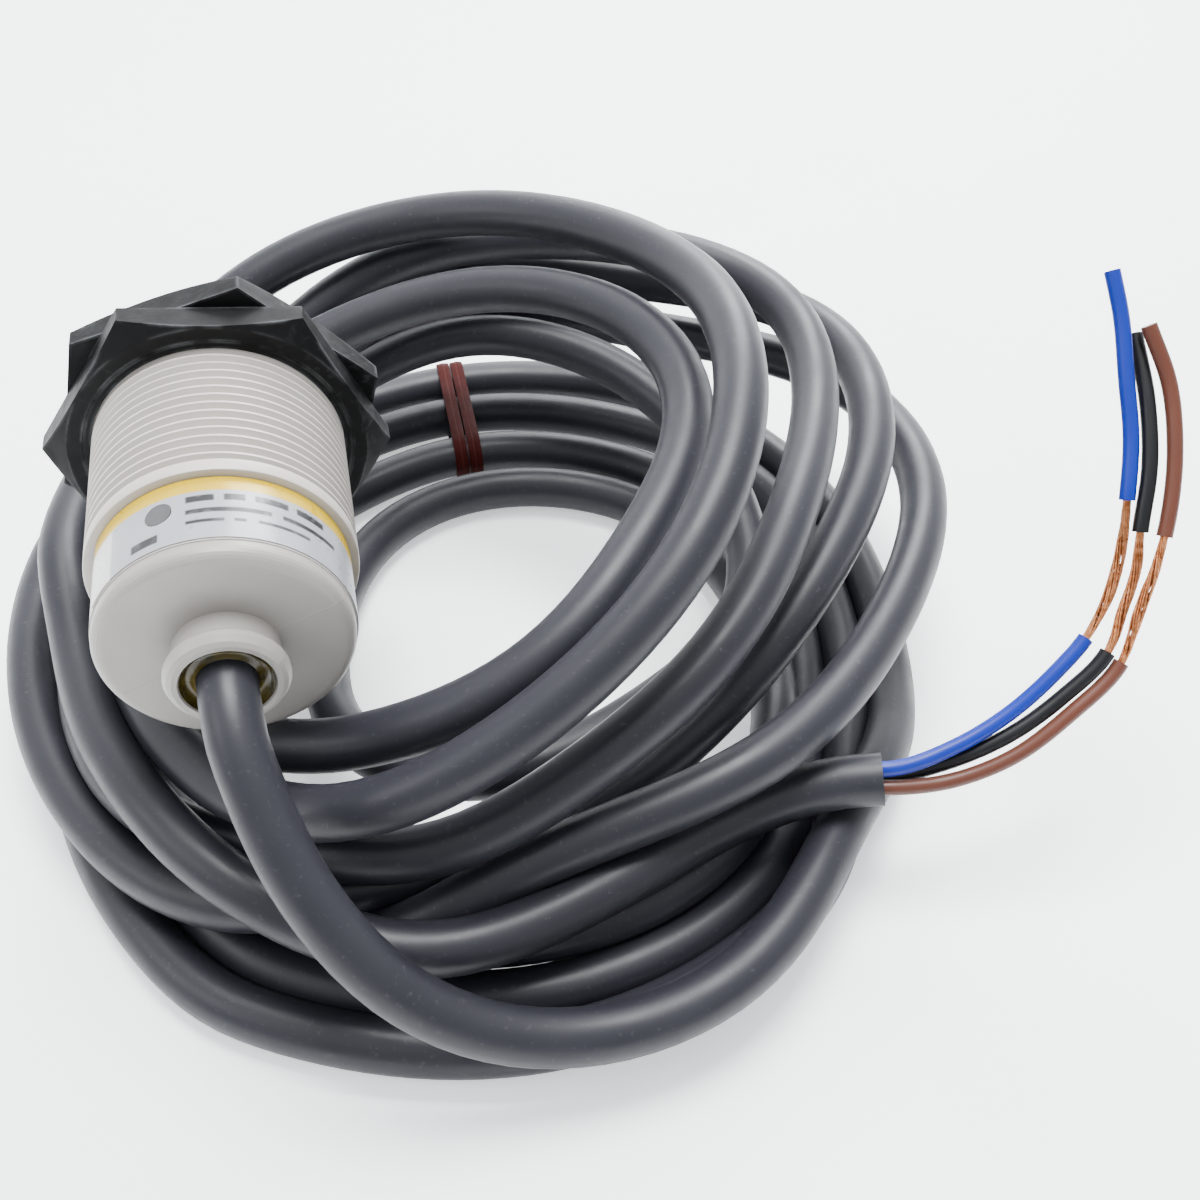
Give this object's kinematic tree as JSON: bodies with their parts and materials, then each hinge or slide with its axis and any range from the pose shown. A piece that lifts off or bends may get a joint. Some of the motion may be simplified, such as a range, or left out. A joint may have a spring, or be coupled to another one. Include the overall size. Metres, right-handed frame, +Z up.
{
  "type": "cylindrical inductive proximity sensor",
  "caption": "Cylindrical inductive proximity sensor with a threaded plastic barrel, two hexagonal clamping nuts and a coiled lead with stripped conductors.",
  "frame": {"origin": "centre of the sensing face, on the axis of the threaded barrel", "axes": "+Y out of the sensing face along the barrel's axis; +Z up from the surface that the coiled lead lies on; +X to the right when the sensing face points away from the viewer"},
  "size_m": [0.15, 0.143, 0.0632],
  "materials": {
    "case_plastic": "fine moulded satin",
    "cap_plastic": "fine moulded satin",
    "nut_plastic": "matte with dusty scuffs on the edges",
    "resin": "clear glossy cast resin",
    "label_film": "silver film with a printed yellow band",
    "lens": "smoked translucent",
    "ferrite": "fine pressed and sintered",
    "bobbin_plastic": "moulded",
    "copper_wire": "enamelled copper",
    "shield_brass": "rolled strip",
    "holder_plastic": "moulded",
    "board_laminate": "solder resist",
    "chip_plastic": "moulded epoxy",
    "diode_glass": "glass body",
    "capacitor_ceramic": "fired",
    "resistor_ceramic": "glazed",
    "led_epoxy": "clear epoxy",
    "potting_epoxy": "cast epoxy",
    "cable_sheath": "satin extruded vinyl",
    "brown_insulation": "satin vinyl",
    "blue_insulation": "satin vinyl",
    "black_insulation": "satin vinyl",
    "bare_copper": "bright stranded copper",
    "tie_vinyl": "ribbed vinyl"
  },
  "bodies": {
    "sensor": {"threaded_case": "case_plastic", "rear_cap": "cap_plastic", "resin_seal": "resin", "label": "label_film", "light_pipe": "lens", "ferrite_core": "ferrite", "coil_bobbin": "bobbin_plastic", "coil_winding": "copper_wire", "coil_leads": "copper_wire", "shield_ring": "shield_brass", "core_holder": "holder_plastic", "circuit_board": "board_laminate", "oscillator_ic": "chip_plastic", "output_transistor": "chip_plastic", "protection_diode": "diode_glass", "capacitors": "capacitor_ceramic", "resistors": "resistor_ceramic", "indicator_led": "led_epoxy", "cable_clamp": "holder_plastic", "potting_plug": "potting_epoxy", "brown_tail": "brown_insulation", "blue_tail": "blue_insulation", "black_tail": "black_insulation", "cable_lead_out": "cable_sheath", "cable_coil": "cable_sheath", "cable_end": "cable_sheath", "cable_tie": "tie_vinyl", "brown_wire": "brown_insulation", "blue_wire": "blue_insulation", "black_wire": "black_insulation", "brown_strands": "bare_copper", "blue_strands": "bare_copper", "black_strands": "bare_copper", "brown_slug": "brown_insulation", "blue_slug": "blue_insulation", "black_slug": "black_insulation"},
    "front_nut_travel": {"front_nut_thread": "nut_plastic"},
    "front_nut": {"front_nut": "nut_plastic"},
    "rear_nut_travel": {"rear_nut_thread": "nut_plastic"},
    "rear_nut": {"rear_nut": "nut_plastic"}
  },
  "joints": [
    {"name": "front_nut_slide", "type": "slide", "parent": "sensor", "child": "front_nut_travel", "axis": [0, 1, 0], "range_m": [0, 0.0038]},
    {"name": "front_nut_turn", "type": "hinge", "parent": "front_nut_travel", "child": "front_nut", "pos_m": [0, -0.006, 0], "axis": [0, 1, 0], "range_deg": [0, 900]},
    {"name": "rear_nut_slide", "type": "slide", "parent": "sensor", "child": "rear_nut_travel", "axis": [0, 1, 0], "range_m": [-0.0196, 0]},
    {"name": "rear_nut_turn", "type": "hinge", "parent": "rear_nut_travel", "child": "rear_nut", "pos_m": [0, -0.01005, 0], "axis": [0, 1, 0], "range_deg": [-4680, 0]}
  ],
  "couplings": [
    {"joint": "front_nut_slide", "follows": "front_nut_turn", "m_per_rad": 0.00023873},
    {"joint": "rear_nut_slide", "follows": "rear_nut_turn", "m_per_rad": 0.00023873}
  ]
}
